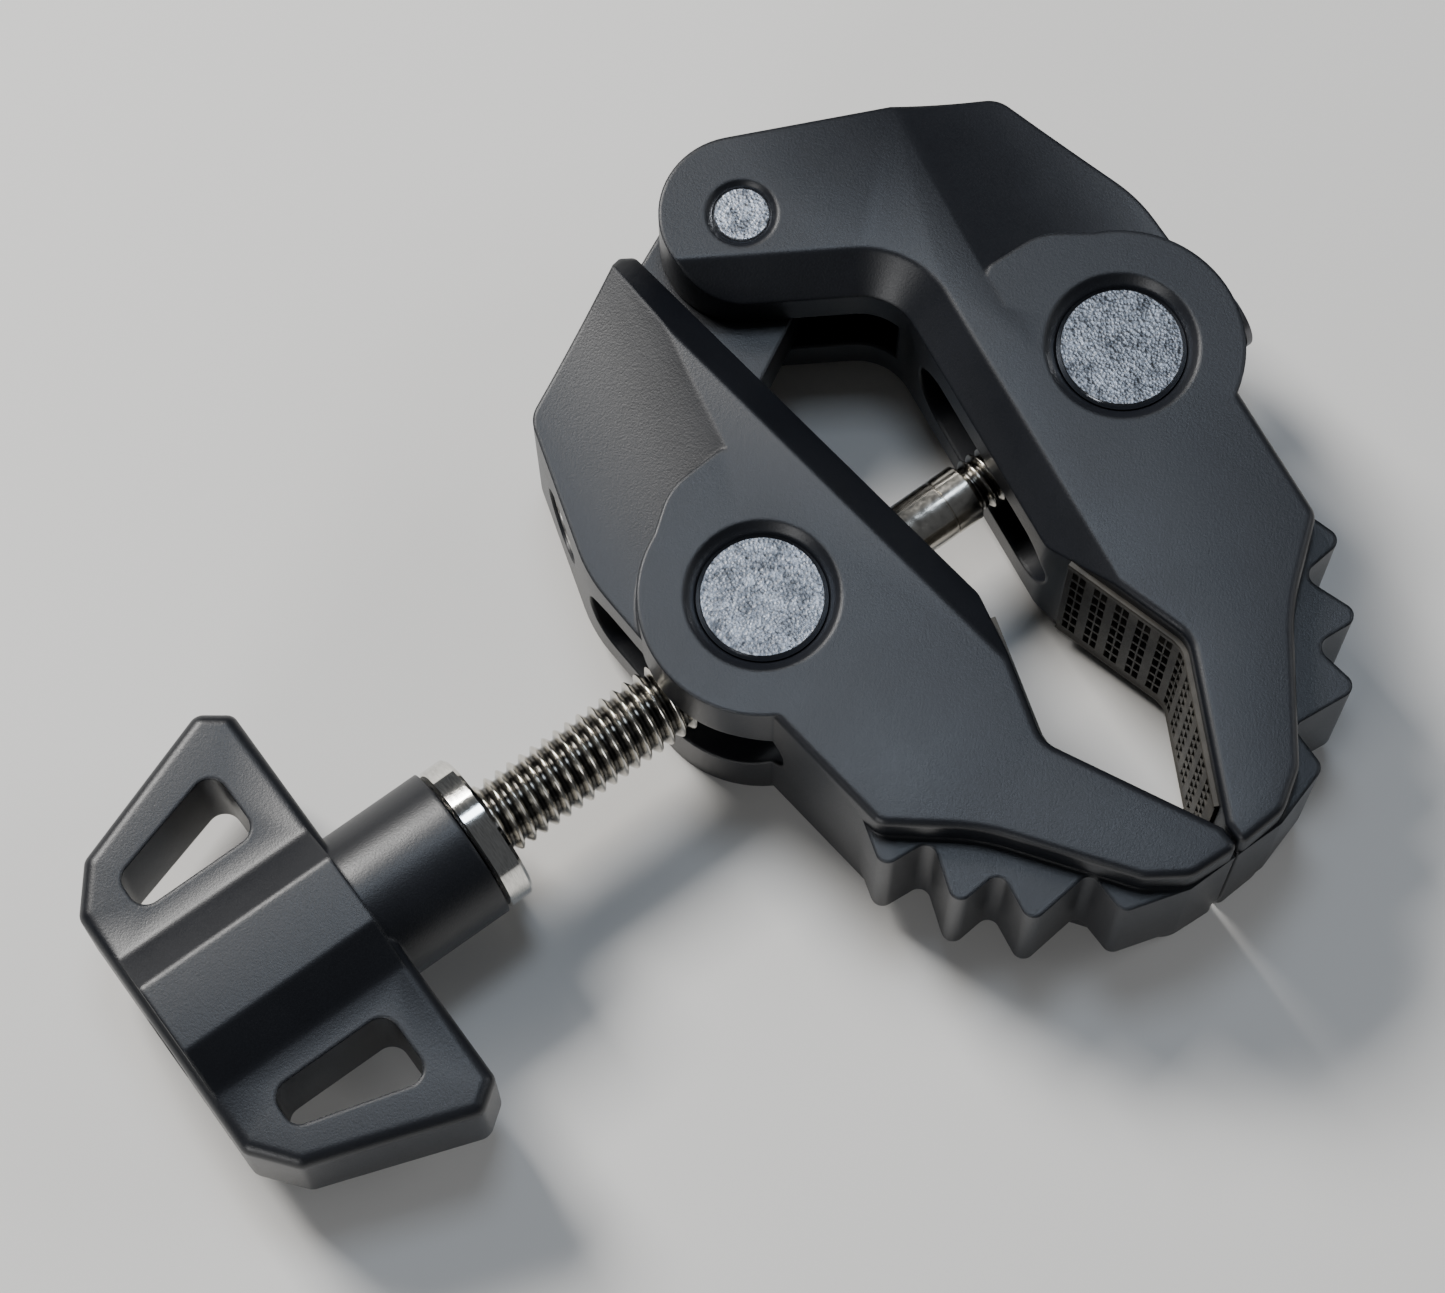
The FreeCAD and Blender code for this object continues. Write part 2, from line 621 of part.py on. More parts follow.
def make_thrust_ring():
    """Polished ring between the handle's collar and the near jaw's side of the screw."""
    body = new_body("thrust_ring")
    front, back = size["ring_front"], size["ring_front"] - size["ring_thickness"]
    bore, outer, rim = size["ring_bore_radius"], size["ring_radius"], 0.35
    turned(body, "ring_turning", [
        (back, bore), (back, outer - rim), (back + rim, outer), (front - rim, outer),
        (front, outer - rim), (front, bore + rim), (front - rim, bore),
    ])
    return body


def make_tee_handle():
    """Moulded handle: a collar, a ridged hub and two wings with a finger hole each."""
    body = new_body("tee_handle")
    front, back = size["hub_front"], size["hub_back"]
    half_span, half_wing = size["wing_span"] / 2, size["wing_thickness"] / 2
    edge = [(front, half_span - 2.2, 1.2), (front - 3.0, half_span, 1.6),
            (back + 3.6, half_span - 5.9, 1.6), (back, half_span - 10.4, 1.6)]
    outline = edge + [(x, -y, radius) for x, y, radius in edge[::-1]]
    sketch = new_sketch(body, "wing_outline")
    draw_outline(sketch, outline)
    pad(body, "wings", sketch, "dims.wing_thickness")
    dress(body, "Fillet", "wing_edges",
          lambda edge: edge.BoundBox.ZLength < 1e-6 and edge.BoundBox.XLength + edge.BoundBox.YLength > 0.1,
          "wing_round")

    ridge, foot, top = size["ridge_width"] / 2, size["ridge_foot"] / 2, size["hub_height"] / 2
    sunk = half_wing - 0.15
    upper = [(foot + 2.2, sunk, 0.0), (foot, sunk, 3.0), (ridge, top, 1.1)]
    profile = upper + [(-y, z, radius) for y, z, radius in upper[::-1]]
    profile += [(-y, -z, radius) for y, z, radius in upper]
    profile += [(y, -z, radius) for y, z, radius in upper[::-1]]
    middle = (front + back) / 2
    sketch = new_sketch(body, "ridge_profile", "YZ_Plane", at=(0, 0, middle))
    draw_outline(sketch, profile)
    pad(body, "ridge", sketch, "dims.hub_front - dims.hub_back - 1.6")

    collar = FreeCAD.Rotation(FreeCAD.Vector(0, 0, 1), FreeCAD.Vector(1, 0, 0))
    primitive(body, "AdditiveCylinder", "collar", FreeCAD.Placement(FreeCAD.Vector(front - 2, 0, 0), collar),
              {"Radius": "dims.collar_radius", "Height": "dims.collar_front - dims.hub_front + 2"})
    for index, sign in enumerate((1, -1)):
        hole = [(front - 4.8, sign * 10.9, 1.8), (front - 4.8, sign * 18.9, 1.8),
                (back + 5.2, sign * 15.0, 1.6), (back + 5.2, sign * 10.9, 1.8)]
        sketch = new_sketch(body, "finger_hole_sketch_%d" % index)
        draw_outline(sketch, hole)
        pocket(body, "finger_hole_%d" % index, sketch, "2 * dims.hub_height")
    bore = size["near_thread_radius"]
    screw_end, shank, head = size["screw_head"], size["end_screw_radius"] + 0.1, size["end_screw_head"]
    turned(body, "screw_bore", [
        (back - 1, 0.0), (back - 1, head), (back + 0.5, head), (back + 2.5, shank),
        (screw_end, shank), (screw_end, bore), (size["collar_front"] + 1, bore),
        (size["collar_front"] + 1, 0.0),
    ], kind="Groove")
    return body


def make_end_screw():
    """Countersunk screw that holds the handle on the clamp screw, with a hexagon socket."""
    body = new_body("handle_end_screw")
    back, head, shank = size["hub_back"] + 0.5, size["end_screw_head"] - 0.05, size["end_screw_radius"]
    turned(body, "end_screw_turning", [
        (back, 0.0), (back, head), (back + 2.0, shank), (back + size["end_screw_length"], shank),
        (back + size["end_screw_length"], 0.0),
    ])
    sketch = new_sketch(body, "socket_sketch", "YZ_Plane", at=(0, 0, back))
    corners = [(1.3 * math.cos(math.radians(a)), 1.3 * math.sin(math.radians(a)), 0.0)
               for a in range(0, 360, 60)]
    draw_outline(sketch, corners)
    pocket(body, "socket", sketch, "2 * dims.end_screw_radius")
    return body


# ---------------------------------------------------------------- build, check and write

make_jaw("near_jaw", NEAR)
make_jaw("far_jaw", FAR)
make_jaw_pad("near_jaw_pad", NEAR)
make_jaw_pad("far_jaw_pad", FAR)
make_insert("near_quarter_inch_insert", NEAR, SIDE_WALL, "small_thread_bore")
make_insert("far_quarter_inch_insert", FAR, SIDE_WALL, "small_thread_bore")
make_insert("three_eighths_insert", FAR, TOP_WALL, "large_thread_bore")
make_hinge_pin()
make_hinge_washer("upper_hinge_washer", 1)
make_hinge_washer("lower_hinge_washer", -1)
make_barrel_nut("near_barrel_nut", NEAR, "near_thread_radius")
make_barrel_nut("far_barrel_nut", FAR, "far_thread_radius")
make_clamp_screw()
make_end_clip()
make_thrust_ring()
make_tee_handle()
make_end_screw()
doc.recompute()

for item in doc.Objects:
    if "Invalid" in item.State or "Error" in item.State:
        raise RuntimeError("%s failed: %s" % (item.Name, item.State))
os.makedirs("parts", exist_ok=True)
for part in parts:
    if part.Shape.isNull() or not part.Shape.isValid() or not part.Shape.Solids:
        raise RuntimeError(part.Label + " has no valid shape")
    part.Shape.exportStep("parts/%s.step" % part.Label)
    print("%-26s %2d solid(s) %10.1f mm3" % (part.Label, len(part.Shape.Solids), part.Shape.Volume))
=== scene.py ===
import math

import bpy
import numpy as np
from bpy.props import FloatProperty, FloatVectorProperty, IntProperty, PointerProperty
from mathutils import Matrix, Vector


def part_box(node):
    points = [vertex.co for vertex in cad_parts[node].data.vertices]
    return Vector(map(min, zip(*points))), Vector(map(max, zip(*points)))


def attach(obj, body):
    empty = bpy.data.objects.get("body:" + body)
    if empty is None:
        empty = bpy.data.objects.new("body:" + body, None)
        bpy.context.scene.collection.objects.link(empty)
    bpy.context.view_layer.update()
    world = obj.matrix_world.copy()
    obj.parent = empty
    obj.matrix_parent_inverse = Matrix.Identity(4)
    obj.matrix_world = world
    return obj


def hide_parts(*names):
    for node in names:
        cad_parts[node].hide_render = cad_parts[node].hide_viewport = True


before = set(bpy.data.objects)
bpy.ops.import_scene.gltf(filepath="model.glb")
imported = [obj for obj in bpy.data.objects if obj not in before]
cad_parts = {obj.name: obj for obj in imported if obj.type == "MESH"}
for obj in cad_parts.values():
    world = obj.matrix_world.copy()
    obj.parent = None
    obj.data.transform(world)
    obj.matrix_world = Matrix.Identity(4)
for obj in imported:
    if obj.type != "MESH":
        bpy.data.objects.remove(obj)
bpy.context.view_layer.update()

bl_info = {
    "name": "Super clamp finish",
    "version": (1, 0, 0),
    "blender": (4, 5, 0),
    "location": "View3D > Sidebar > Clamp",
    "description": "Builds the visible pieces, finishes and stage of a hinged grip clamp",
    "category": "Object",
}

MM = 0.001
MID_HEIGHT = (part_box("near_jaw")[0].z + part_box("near_jaw")[1].z) / 2
SCREW_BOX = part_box("clamp_screw")
SCREW_Y = (SCREW_BOX[0].y + SCREW_BOX[1].y) / 2
NUT_BOX = {side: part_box(side + "_barrel_nut") for side in ("near", "far")}
PIN_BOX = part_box("hinge_pin")
MOUTH_THROAT = np.array([4.1, 16.2]) * MM
MOUTH_VALLEY = np.array([8.8, 0.0]) * MM
MOUTH_TIP = np.array([0.2, -16.8]) * MM
PAD_START_Y, PAD_END_Y, VALLEY_RADIUS = 13.3 * MM, -14.6 * MM, 3.5 * MM


# ---------------------------------------------------------------- sizes and colours

class JawSettings(bpy.types.PropertyGroup):
    coating: FloatVectorProperty(
        name="Coating", description="Colour of the powder coating", subtype="COLOR",
        size=3, min=0.0, max=1.0, default=(0.005, 0.0058, 0.0082))
    grain: FloatProperty(
        name="Grain", description="Size of the coating's fine grain", unit="LENGTH",
        default=0.22 * MM)
    edge_round: FloatProperty(
        name="Edge rounding", description="How far the coating softens a cast edge",
        unit="LENGTH", default=0.55 * MM)
    shade_angle: FloatProperty(
        name="Crease angle", description="Edges that turn by less than this are shaded smooth",
        subtype="ANGLE", default=math.radians(28))


class SteelSettings(bpy.types.PropertyGroup):
    nickel: FloatVectorProperty(
        name="Nickel", description="Colour of the plated screw", subtype="COLOR",
        size=3, min=0.0, max=1.0, default=(0.66, 0.63, 0.57))
    blasted: FloatVectorProperty(
        name="Blasted steel", description="Colour of the nuts' and the pin's rough end faces",
        subtype="COLOR", size=3, min=0.0, max=1.0, default=(0.2, 0.21, 0.23))
    speckle: FloatProperty(
        name="Speckle", description="Size of the pits of a blasted face", unit="LENGTH",
        default=0.32 * MM)
    polished_rim: FloatProperty(
        name="Polished rim", description="Radius beyond which a nut's end is turned bright",
        unit="LENGTH", default=6.02 * MM)


class ScrewSettings(bpy.types.PropertyGroup):
    thick_radius: FloatProperty(
        name="Thick thread", description="Crest radius of the thread beside the handle",
        unit="LENGTH", default=3.95 * MM)
    thick_pitch: FloatProperty(
        name="Thick pitch", description="Pitch of that left-hand thread", unit="LENGTH",
        default=1.39 * MM)
    thick_end: FloatProperty(
        name="Thick end", description="Where the thick thread runs out, along X",
        unit="LENGTH", default=-12.0 * MM)
    thin_radius: FloatProperty(
        name="Thin thread", description="Crest radius of the thread in the far nut",
        unit="LENGTH", default=2.95 * MM)
    thin_pitch: FloatProperty(
        name="Thin pitch", description="Pitch of that right-hand thread", unit="LENGTH",
        default=1.13 * MM)
    thin_start: FloatProperty(
        name="Thin start", description="Where the thin thread begins, along X",
        unit="LENGTH", default=3.9 * MM)
    neck_radius: FloatProperty(
        name="Neck", description="Radius of the plain neck between the threads",
        unit="LENGTH", default=3.1 * MM)
    thread_depth: FloatProperty(
        name="Thread depth", description="Depth of a thread as a part of its pitch",
        subtype="FACTOR", default=0.5)
    segments: IntProperty(
        name="Segments", description="Steps around the screw, and along each turn", default=32)


class PadSettings(bpy.types.PropertyGroup):
    rubber: FloatVectorProperty(
        name="Rubber", description="Colour of the pads", subtype="COLOR",
        size=3, min=0.0, max=1.0, default=(0.034, 0.031, 0.026))
    proud: FloatProperty(
        name="Proud", description="How far a pad stands out of its recess", unit="LENGTH",
        default=0.55 * MM)
    deep: FloatProperty(
        name="Deep", description="How far a pad reaches into its recess", unit="LENGTH",
        default=1.5 * MM)
    pit_depth: FloatProperty(
        name="Pit depth", description="Depth of the small gripping pits", unit="LENGTH",
        default=0.75 * MM)
    bands: IntProperty(
        name="Bands", description="Bands of pits along a pad", default=11)
    rows: IntProperty(
        name="Rows", description="Pits across the thickness of a pad", default=7)


class StageSettings(bpy.types.PropertyGroup):
    floor_colour: FloatVectorProperty(
        name="Floor", description="Colour of the plain floor", subtype="COLOR",
        size=3, min=0.0, max=1.0, default=(0.72, 0.71, 0.69))
    camera_place: FloatVectorProperty(
        name="Camera", description="Place of the camera", subtype="TRANSLATION",
        size=3, default=(-99.08 * MM, -75.82 * MM, 420.22 * MM))
    camera_turn: FloatVectorProperty(
        name="Camera turn", description="Rotation of the camera", subtype="EULER",
        size=3, default=(math.radians(17.394), math.radians(0.324), math.radians(-36.022)))
    focal_length: FloatProperty(
        name="Focal length", description="Focal length on a 36 mm sensor, in millimetres",
        default=107.33)


# ---------------------------------------------------------------- mesh helpers

def grid_faces(rows, columns, close_rows=False, twist=None):
    """Quads of a grid of points whose columns close into rings.

    Where a row's twist is +1 or -1 its quads are split along the diagonal that follows a
    helix of that hand, so a thread's ridge lies on edges.
    """
    row = np.arange(rows if close_rows else rows - 1)[:, None]
    column = np.arange(columns)[None, :]
    next_row, next_column = (row + 1) % rows, (column + 1) % columns
    low, low_next = row * columns + column, row * columns + next_column
    high, high_next = next_row * columns + column, next_row * columns + next_column
    quads = np.stack([low, low_next, high_next, high], -1)
    if twist is None:
        return quads.reshape(-1, 4).tolist()
    faces = quads[twist == 0].reshape(-1, 4).tolist()
    for hand, halves in ((1, ([0, 1, 2], [0, 2, 3])), (-1, ([0, 1, 3], [1, 2, 3]))):
        for half in halves:
            faces += quads[twist == hand][..., half].reshape(-1, 3).tolist()
    return faces


def closed_tube(sections):
    """Points and faces of sections of rings, each (rings, twist), closed by fans at both ends."""
    rings = np.concatenate([section for section, _ in sections])
    twist = np.concatenate([np.full(len(section), hand) for section, hand in sections])[1:]
    rows, columns = rings.shape[:2]
    points = np.concatenate([rings.reshape(-1, 3), rings[[0, -1]].mean(axis=1)])
    faces = grid_faces(rows, columns, twist=twist)
    first_pole, last_pole = rows * columns, rows * columns + 1
    last_ring = (rows - 1) * columns
    for column in range(columns):
        following = (column + 1) % columns
        faces.append([first_pole, following, column])
        faces.append([last_pole, last_ring + column, last_ring + following])
    return points, faces


def signed_volume(points, faces):
    """Sum over the faces' triangles of a.(b x c) / 6: positive when faces point outwards."""
    total = 0.0
    for count in (3, 4):
        group = np.array([face for face in faces if len(face) == count])
        for second in range(1, count - 1) if len(group) else ():
            a, b, c = (points[group[:, k]] for k in (0, second, second + 1))
            total += float(np.einsum("ij,ij->i", a, np.cross(b, c)).sum()) / 6
    return total


def new_piece(name, points, faces, crease):
    """A mesh object at the origin, smooth up to the crease angle, its faces outwards."""
    if signed_volume(points, faces) < 0:
        faces = [face[::-1] for face in faces]
    mesh = bpy.data.meshes.new(name)
    mesh.from_pydata(points.tolist(), [], faces)
    mesh.update()
    mesh.shade_smooth()
    mesh.set_sharp_from_angle(angle=crease)
    piece = bpy.data.objects.new(name, mesh)
    bpy.context.scene.collection.objects.link(piece)
    return piece


def welded_copy(node, name, crease):
    """A copy of a node's mesh with its corners merged, so curved walls shade smoothly."""
    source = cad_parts[node].data
    count = len(source.vertices)
    corners = np.empty(count * 3)
    source.vertices.foreach_get("co", corners)
    corners = corners.reshape(-1, 3)
    _, first, merged = np.unique(np.round(corners / 1e-6).astype(np.int64), axis=0,
                                 return_index=True, return_inverse=True)
    triangles = np.empty(len(source.loops), int)
    source.loops.foreach_get("vertex_index", triangles)
    triangles = merged.reshape(-1)[triangles].reshape(-1, 3)
    a, b, c = triangles.T
    triangles = triangles[(a != b) & (b != c) & (c != a)]
    return new_piece(name, corners[first], triangles.tolist(), crease)


def finish_piece(piece, body, slot, material, *nodes):
    """Material, body and the nodes that a new piece stands for; the slot argument is not used."""
    piece.data.materials.clear()
    piece.data.materials.append(material)
    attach(piece, body)
    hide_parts(*nodes)
    return piece


# ---------------------------------------------------------------- material helpers

class Nodes:
    """Short calls for building one node material."""

    def __init__(self, name):
        self.material = bpy.data.materials.get(name) or bpy.data.materials.new(name)
        self.material.use_nodes = True
        self.tree = self.material.node_tree
        self.tree.nodes.clear()
        self.shader = self.add("ShaderNodeBsdfPrincipled")
        output = self.add("ShaderNodeOutputMaterial")
        self.link(self.shader.outputs["BSDF"], output.inputs["Surface"])
        self.place = self.add("ShaderNodeTexCoord").outputs["Object"]

    def add(self, kind, **settings):
        node = self.tree.nodes.new(kind)
        for key, value in settings.items():
            setattr(node, key, value)
        return node

    def link(self, source, target):
        self.tree.links.new(source, target)

    def shader_values(self, **values):
        for key, value in values.items():
            self.shader.inputs[key.replace("_", " ")].default_value = value

    def noise(self, size, detail=2.0, roughness=0.5):
        """Noise whose lumps measure about size metres."""
        node = self.add("ShaderNodeTexNoise")
        self.link(self.place, node.inputs["Vector"])
        node.inputs["Scale"].default_value = 1 / size
        node.inputs["Detail"].default_value = detail
        node.inputs["Roughness"].default_value = roughness
        return node.outputs["Fac"]

    def cells(self, size):
        """Distance to the nearest point of a random cell pattern of this size."""
        node = self.add("ShaderNodeTexVoronoi")
        self.link(self.place, node.inputs["Vector"])
        node.inputs["Scale"].default_value = 1 / size
        return node.outputs["Distance"]

    def remap(self, value, low, high, new_low, new_high):
        node = self.add("ShaderNodeMapRange")
        self.link(value, node.inputs["Value"])
        for name, number in (("From Min", low), ("From Max", high),
                             ("To Min", new_low), ("To Max", new_high)):
            node.inputs[name].default_value = number
        return node.outputs["Result"]

    def math(self, operation, first, second):
        node = self.add("ShaderNodeMath", operation=operation)
        for socket, value in zip(node.inputs, (first, second)):
            if isinstance(value, (int, float)):
                socket.default_value = value
            else:
                self.link(value, socket)
        return node.outputs["Value"]

    def blend(self, fine, coarse):
        """Six tenths of a fine pattern and four tenths of a coarse one."""
        return self.math("ADD", self.math("MULTIPLY", fine, 0.6),
                         self.math("MULTIPLY", coarse, 0.4))

    def mix_colour(self, factor, first, second):
        node = self.add("ShaderNodeMix", data_type="RGBA")
        self.link(factor, node.inputs["Factor"])
        node.inputs[6].default_value = (*first, 1)
        node.inputs[7].default_value = (*second, 1)
        return node.outputs[2]

    def radius_about(self, centre, axis):
        """Distance from a line through centre along the X (0), Y (1) or Z (2) axis."""
        shift = self.add("ShaderNodeVectorMath", operation="SUBTRACT")
        self.link(self.place, shift.inputs[0])
        shift.inputs[1].default_value = centre
        flatten = self.add("ShaderNodeVectorMath", operation="MULTIPLY")
        self.link(shift.outputs["Vector"], flatten.inputs[0])
        flatten.inputs[1].default_value = [0.0 if k == axis else 1.0 for k in range(3)]
        length = self.add("ShaderNodeVectorMath", operation="LENGTH")
        self.link(flatten.outputs["Vector"], length.inputs[0])
        return length.outputs["Value"]

    def bump(self, height, distance, strength=1.0, round_edges=0.0):
        """Bump from a height, over a rounded normal where round_edges is given."""
        node = self.add("ShaderNodeBump")
        node.inputs["Strength"].default_value = strength
        node.inputs["Distance"].default_value = distance
        self.link(height, node.inputs["Height"])
        if round_edges:
            bevel = self.add("ShaderNodeBevel", samples=6)
            bevel.inputs["Radius"].default_value = round_edges
            self.link(bevel.outputs["Normal"], node.inputs["Normal"])
        self.link(node.outputs["Normal"], self.shader.inputs["Normal"])


def coating_material(name, shade=1.0):
    """Matt black powder coating: fine grain, faint blotches and softened edges."""
    look = bpy.context.scene.clamp_jaws
    nodes = Nodes(name)
    dark = [channel * shade for channel in look.coating]
    light = [channel * shade * 1.45 for channel in look.coating]
    grain = nodes.noise(look.grain, detail=3.0, roughness=0.65)
    blotch = nodes.noise(look.grain * 40, detail=2.0)
    tone = nodes.blend(grain, blotch)
    colour = nodes.mix_colour(nodes.remap(tone, 0.35, 0.65, 0.0, 1.0), dark, light)
    nodes.link(colour, nodes.shader.inputs["Base Color"])
    nodes.link(nodes.remap(tone, 0.3, 0.7, 0.33, 0.43), nodes.shader.inputs["Roughness"])
    nodes.shader_values(Specular_IOR_Level=0.5)
    nodes.bump(grain, 0.035 * MM, 0.55, look.edge_round)
    return nodes.material


def blasted_material(name, centre, rim_radius, brightness):
    """Plated steel with a sand-blasted end face inside a bright turned rim."""
    look = bpy.context.scene.clamp_steel
    nodes = Nodes(name)
    pits = nodes.cells(look.speckle)
    lumps = nodes.noise(look.speckle * 1.6, detail=3.0, roughness=0.7)
    inside = nodes.remap(nodes.radius_about(centre, 2), rim_radius, rim_radius + 0.05 * MM, 1.0, 0.0)
    height = nodes.math("MULTIPLY", nodes.math("ADD", pits, lumps), inside)
    dark = [channel * 0.4 * brightness for channel in look.blasted]
    light = [channel * 1.5 * brightness for channel in look.blasted]
    cloud = nodes.noise(look.speckle * 7, detail=2.0)
    speckle = nodes.remap(nodes.blend(lumps, cloud), 0.4, 0.62, 0.0, 1.0)
    rough_or_rim = nodes.math("MAXIMUM", speckle, nodes.math("SUBTRACT", 1.0, inside))
    nodes.link(nodes.mix_colour(rough_or_rim, dark, light), nodes.shader.inputs["Base Color"])
    roughness = nodes.math("ADD", nodes.math("MULTIPLY", inside, 0.2),
                           nodes.remap(lumps, 0.3, 0.7, 0.1, 0.2))
    nodes.link(roughness, nodes.shader.inputs["Roughness"])
    nodes.shader_values(Metallic=1.0)
    nodes.bump(height, 0.05 * MM, 0.8)
    return nodes.material


def threaded_material(name, colour):
    """Nickel plated thread with painted shade in its roots: the crests keep the nickel colour and the
    roots are painted dark, told apart by distance from the screw's axis. The thick thread's radii
    hold up to where it runs out, the thin ones after."""
    look = bpy.context.scene.clamp_screw
    nodes = Nodes(name)
    radius = nodes.radius_about((0.0, SCREW_Y, MID_HEIGHT), 0)
    marks = nodes.noise(0.7 * MM, detail=3.0)
    thick_root = look.thick_radius - look.thread_depth * look.thick_pitch
    thin_root = look.thin_radius - look.thread_depth * look.thin_pitch
    thick_rise = nodes.remap(radius, thick_root, look.thick_radius - 0.2 * MM, 0.0, 1.0)
    thin_rise = nodes.remap(radius, thin_root, look.thin_radius - 0.15 * MM, 0.0, 1.0)
    along = nodes.add("ShaderNodeSeparateXYZ")
    nodes.link(nodes.place, along.inputs["Vector"])
    on_thin = nodes.math("GREATER_THAN", along.outputs["X"], look.thick_end)
    rise = nodes.add("ShaderNodeMix", data_type="FLOAT")
    nodes.link(on_thin, rise.inputs["Factor"])
    nodes.link(thick_rise, rise.inputs[2])
    nodes.link(thin_rise, rise.inputs[3])
    # painted shade: darker towards the thread roots, plus random tone from the marks
    root_shade_and_marks = nodes.math("ADD", rise.outputs[0], nodes.remap(marks, 0.3, 0.7, -0.15, 0.15))
    # the roots' painted shade is a tenth of the nickel colour
    dark = [channel * 0.1 for channel in colour]
    nodes.link(nodes.mix_colour(nodes.remap(root_shade_and_marks, 0.0, 1.0, 0.0, 1.0), dark, colour),
               nodes.shader.inputs["Base Color"])
    nodes.link(nodes.remap(marks, 0.3, 0.7, 0.14, 0.24), nodes.shader.inputs["Roughness"])
    nodes.shader_values(Metallic=1.0)
    nodes.bump(marks, 0.01 * MM, 0.4)
    return nodes.material


def plated_material(name, colour, roughness, scratch=0.5):
    """Bright plated metal with fine turning marks around the screw's axis."""
    nodes = Nodes(name)
    stretch = nodes.add("ShaderNodeMapping")
    stretch.inputs["Scale"].default_value = (9.0, 1.0, 1.0)
    nodes.link(nodes.place, stretch.inputs["Vector"])
    nodes.place = stretch.outputs["Vector"]
    marks = nodes.noise(0.9 * MM, detail=4.0, roughness=0.6)
    darker = [channel * 0.72 for channel in colour]
    nodes.link(nodes.mix_colour(nodes.remap(marks, 0.35, 0.65, 0.0, 1.0), darker, colour),
               nodes.shader.inputs["Base Color"])
    nodes.link(nodes.remap(marks, 0.3, 0.7, roughness * 0.7, roughness * 1.5),
               nodes.shader.inputs["Roughness"])
    nodes.shader_values(Metallic=1.0)
    nodes.bump(marks, 0.012 * MM, scratch)
    return nodes.material


def rubber_material():
    """Moulded rubber: soft sheen, a dusty bloom and a fine moulded texture."""
    look = bpy.context.scene.clamp_pads
    nodes = Nodes("pad_rubber")
    bloom = nodes.noise(3.5 * MM, detail=3.0)
    grain = nodes.noise(0.18 * MM, detail=2.0)
    dusty = [channel * 2.1 for channel in look.rubber]
    nodes.link(nodes.mix_colour(nodes.remap(bloom, 0.4, 0.7, 0.0, 1.0), look.rubber[:], dusty),
               nodes.shader.inputs["Base Color"])
    nodes.link(nodes.remap(grain, 0.3, 0.7, 0.5, 0.68), nodes.shader.inputs["Roughness"])
    nodes.shader_values(Specular_IOR_Level=0.45)
    nodes.bump(grain, 0.02 * MM, 0.5)
    return nodes.material


# ---------------------------------------------------------------- shapes

def thread_height(phase):
    """Height of a thread's section from 0 at the root to 1 at the crest: straight flanks
    that are rounded over at the crest, between flat roots."""
    wave = np.abs(2 * (phase % 1.0) - 1)
    flank = np.clip((wave - 0.18) / 0.82, 0.0, 1.0)
    return np.where(flank > 0.7, 1 - (1 - flank) ** 2 / 0.6, flank / 0.7 * 0.85)


def threaded_rings(start, end, pitch, crest, root, hand, segments):
    """Radius of a thread on a grid of x and angle.

    radius = root + (crest - root) * thread_height(x / pitch - hand * angle / full turn),
    eased to the root over the last part of a turn at each end. There are as many steps in
    a pitch as around the screw, so ridges lie on the grid's diagonals.
    """
    steps = int((end - start) / pitch * segments)
    x = start + np.arange(steps + 1) * pitch / segments
    angle = np.arange(segments) * 2 * math.pi / segments
    phase = x[:, None] / pitch - hand * angle[None, :] / (2 * math.pi)
    ease = np.minimum(x - x[0], x[-1] - x) / (0.7 * pitch)
    height = thread_height(phase) * np.clip(ease, 0.0, 1.0)[:, None]
    radius = root + (crest - root) * height
    return np.stack([np.broadcast_to(x[:, None], radius.shape),
                     SCREW_Y + radius * np.cos(angle), MID_HEIGHT + radius * np.sin(angle)], -1)


def plain_rings(profile, segments):
    """Rings about the screw's axis through (x, radius) pairs: y = r cos a, z = r sin a."""
    x, radius = np.array(profile).T
    angle = np.arange(segments) * 2 * math.pi / segments
    return np.stack([np.broadcast_to(x[:, None], (len(x), segments)),
                     SCREW_Y + radius[:, None] * np.cos(angle),
                     MID_HEIGHT + radius[:, None] * np.sin(angle)], -1)


def screw_shape():
    """The whole clamp screw as one closed tube of rings, from the handle to the far tip."""
    look = bpy.context.scene.clamp_screw
    segments = look.segments
    tip = SCREW_BOX[1].x
    head = SCREW_BOX[0].x
    thick_depth = look.thread_depth * look.thick_pitch
    thin_depth = look.thread_depth * look.thin_pitch
    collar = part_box("thrust_ring")[0].x
    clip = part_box("screw_end_clip")
    groove_radius = 2.3 * MM
    neck, line = look.neck_radius, 0.14 * MM
    thick = threaded_rings(collar, look.thick_end, look.thick_pitch, look.thick_radius,
                           look.thick_radius - thick_depth, -1, segments)
    thin_root = look.thin_radius - thin_depth
    thin = threaded_rings(look.thin_start, clip[0].x - 0.1 * MM, look.thin_pitch,
                          look.thin_radius, thin_root, 1, segments)
    shank_radius = look.thick_radius - 0.05 * MM
    shank = plain_rings([(head, look.thick_radius - 0.5 * MM), (head + 0.5 * MM, shank_radius),
                         (collar - 0.3 * MM, shank_radius)], segments)
    line_x = 0.4 * MM
    middle = plain_rings([
        (look.thick_end + 0.3 * MM, neck), (line_x - line, neck), (line_x - line / 2, neck - line),
        (line_x + line / 2, neck - line), (line_x + line, neck),
        (look.thin_start - 0.6 * MM, neck), (look.thin_start - 0.3 * MM, neck - 0.35 * MM)], segments)
    end = plain_rings([
        (clip[0].x - 0.05 * MM, groove_radius), (clip[1].x + 0.05 * MM, groove_radius),
        (clip[1].x + 0.06 * MM, look.thin_radius), (tip - 0.4 * MM, look.thin_radius),
        (tip, look.thin_radius - 0.5 * MM)], segments)
    return closed_tube([(shank, 0), (thick, -1), (middle, 0), (thin, 1), (end, 0)])


